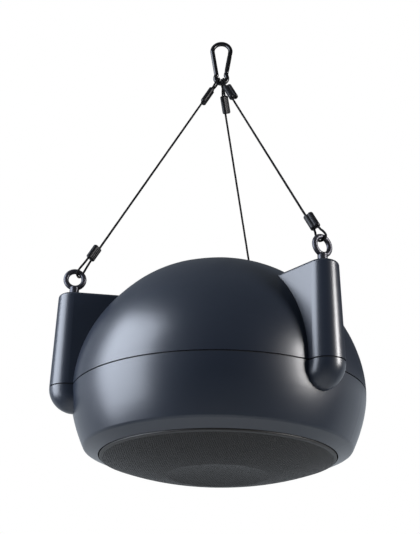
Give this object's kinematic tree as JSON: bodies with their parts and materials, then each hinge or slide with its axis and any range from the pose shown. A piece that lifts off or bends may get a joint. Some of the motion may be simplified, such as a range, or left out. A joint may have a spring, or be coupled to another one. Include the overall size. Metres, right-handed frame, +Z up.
{
  "type": "pendant loudspeaker",
  "caption": "Domed pendant loudspeaker with a perforated grille below, hung by wire ropes from a snap hook, with an input well in its crown.",
  "frame": {"origin": "hang point, at the inside top of the snap hook's bow", "axes": "+Z up along the speaker's own axis; X and Y level, with lugs at -30, 90 and 210 degrees from +X"},
  "size_m": [0.3428, 0.3647, 0.5877],
  "materials": {
    "shell_plastic": "satin moulded plastic, dark blue-grey",
    "hook_steel": "gloss black coating",
    "seal_rubber": "matt",
    "grille_paint": "powder-coated perforated steel",
    "speaker_cloth": "open weave",
    "baffle_board": "black-stained board",
    "screw_steel": "plated",
    "frame_paint": "satin black",
    "ferrite": "sintered",
    "copper": "enamelled winding",
    "paper_cone": "coated paper",
    "tweeter_plastic": "moulded",
    "silk_dome": "coated silk",
    "panel_metal": "satin",
    "circuit_board": "solder mask",
    "capacitor_film": "film sleeve",
    "resistor_ceramic": "ceramic",
    "lead_sleeve": "flexible sleeve",
    "eye_steel": "dark grey coating",
    "insert_brass": "turned",
    "port_plastic": "moulded",
    "rope_steel": "black stranded wire",
    "ferrule_black": "black crimped sleeve"
  },
  "bodies": {
    "enclosure": {"upper_shell": "shell_plastic", "lower_shell": "shell_plastic", "snap_hook_body": "hook_steel", "snap_hook_rivet": "hook_steel", "seam_gasket": "seal_rubber", "surround": "seal_rubber", "woofer_gasket": "seal_rubber", "grille": "grille_paint", "grille_cloth": "speaker_cloth", "spider": "speaker_cloth", "baffle": "baffle_board", "baffle_screws": "screw_steel", "driver_screws": "screw_steel", "panel_screws": "screw_steel", "woofer_top_plate": "screw_steel", "woofer_back_plate": "screw_steel", "transformer_core": "screw_steel", "transformer_bracket": "screw_steel", "woofer_basket": "frame_paint", "woofer_magnet": "ferrite", "crossover_inductor": "copper", "transformer_coil": "copper", "tweeter_housing": "tweeter_plastic", "tweeter_bridge": "tweeter_plastic", "tap_switch": "tweeter_plastic", "terminal_block": "tweeter_plastic", "gland_nut": "tweeter_plastic", "cable_gland": "tweeter_plastic", "input_panel": "panel_metal", "crossover_board": "circuit_board", "board_posts": "circuit_board", "crossover_capacitors": "capacitor_film", "crossover_resistor": "resistor_ceramic", "input_lead": "lead_sleeve", "transformer_lead": "lead_sleeve", "eyebolt_right": "eye_steel", "lug_insert_right": "insert_brass", "port_tube_right": "port_plastic", "wire_rope_right": "rope_steel", "lower_ferrule_right": "ferrule_black", "upper_ferrule_right": "ferrule_black", "eyebolt_rear": "eye_steel", "lug_insert_rear": "insert_brass", "port_tube_rear": "port_plastic", "wire_rope_rear": "rope_steel", "lower_ferrule_rear": "ferrule_black", "upper_ferrule_rear": "ferrule_black", "eyebolt_left": "eye_steel", "lug_insert_left": "insert_brass", "port_tube_left": "port_plastic", "wire_rope_left": "rope_steel", "lower_ferrule_left": "ferrule_black", "upper_ferrule_left": "ferrule_black"},
    "gate": {"snap_hook_gate": "hook_steel"},
    "knob": {"tap_knob": "tweeter_plastic"},
    "cone": {"woofer_cone": "paper_cone", "voice_coil": "copper", "dust_cap": "paper_cone"},
    "dome": {"tweeter_dome": "silk_dome"}
  },
  "joints": [
    {"name": "gate_hinge", "type": "hinge", "parent": "enclosure", "child": "gate", "pos_m": [0.00656, 0.00239, -0.04253], "axis": [0.342, -0.9397, 0], "range_deg": [0, 25], "stiffness_Nm_per_rad": 0.06, "springref_deg": -17.19},
    {"name": "tap_turn", "type": "hinge", "parent": "enclosure", "child": "knob", "pos_m": [0, -0.062, -0.359], "axis": [0, 0, 1], "range_deg": [0, 150]},
    {"name": "cone_travel", "type": "slide", "parent": "enclosure", "child": "cone", "axis": [0, 0, 1], "range_m": [-0.0025, 0.0025], "stiffness_N_per_m": 2000},
    {"name": "dome_travel", "type": "slide", "parent": "enclosure", "child": "dome", "axis": [0, 0, 1], "range_m": [-0.0003, 0.0003], "stiffness_N_per_m": 1500}
  ]
}
